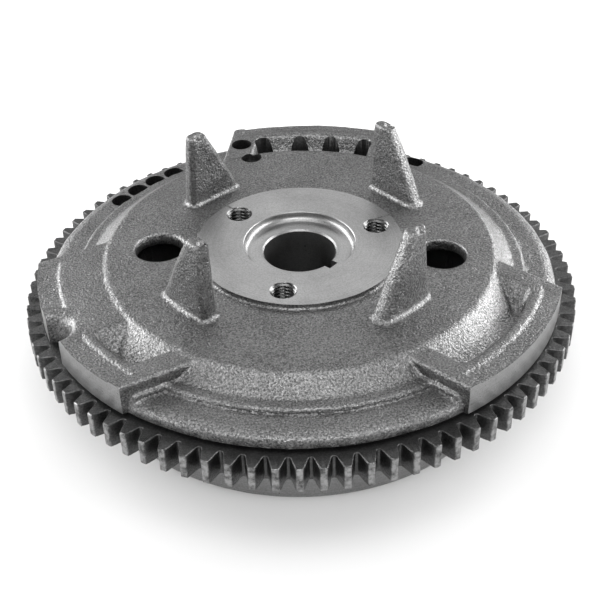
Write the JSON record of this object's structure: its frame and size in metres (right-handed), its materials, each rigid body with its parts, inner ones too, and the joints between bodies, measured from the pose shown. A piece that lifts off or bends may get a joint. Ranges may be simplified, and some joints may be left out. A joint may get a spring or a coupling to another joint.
{
  "type": "engine flywheel",
  "caption": "Cast-iron engine flywheel with a shrunk-on starter ring gear, four cast fan posts and alternator magnets inside its skirt.",
  "frame": {"origin": "on the bore axis, in the plane of the skirt's lower edge", "axes": "+Z along the bore axis, from the open magnet cup towards the hub face and the fan posts; +X to the right with the bore's keyway at front right"},
  "size_m": [0.2174, 0.2174, 0.0848],
  "materials": {
    "cast_iron": "as-cast sandy iron with machined hub face, bore and pad rims",
    "gear_steel": "dark oiled steel with bright worn tooth edges",
    "magnet": "dark grey ceramic ferrite, ground faces",
    "cage_nylon": "natural moulded nylon",
    "retainer_steel": "dull zinc-plated pressed steel"
  },
  "bodies": {
    "root": {"flywheel_casting": "cast_iron", "ring_gear": "gear_steel", "magnet_cage": "cage_nylon", "magnet_retainer": "retainer_steel", "magnet_01": "magnet", "magnet_02": "magnet", "magnet_03": "magnet", "magnet_04": "magnet", "magnet_05": "magnet", "magnet_06": "magnet", "magnet_07": "magnet", "magnet_08": "magnet", "magnet_09": "magnet", "magnet_10": "magnet", "magnet_11": "magnet", "magnet_12": "magnet", "magnet_13": "magnet", "magnet_14": "magnet", "magnet_15": "magnet", "magnet_16": "magnet"}
  },
  "joints": []
}
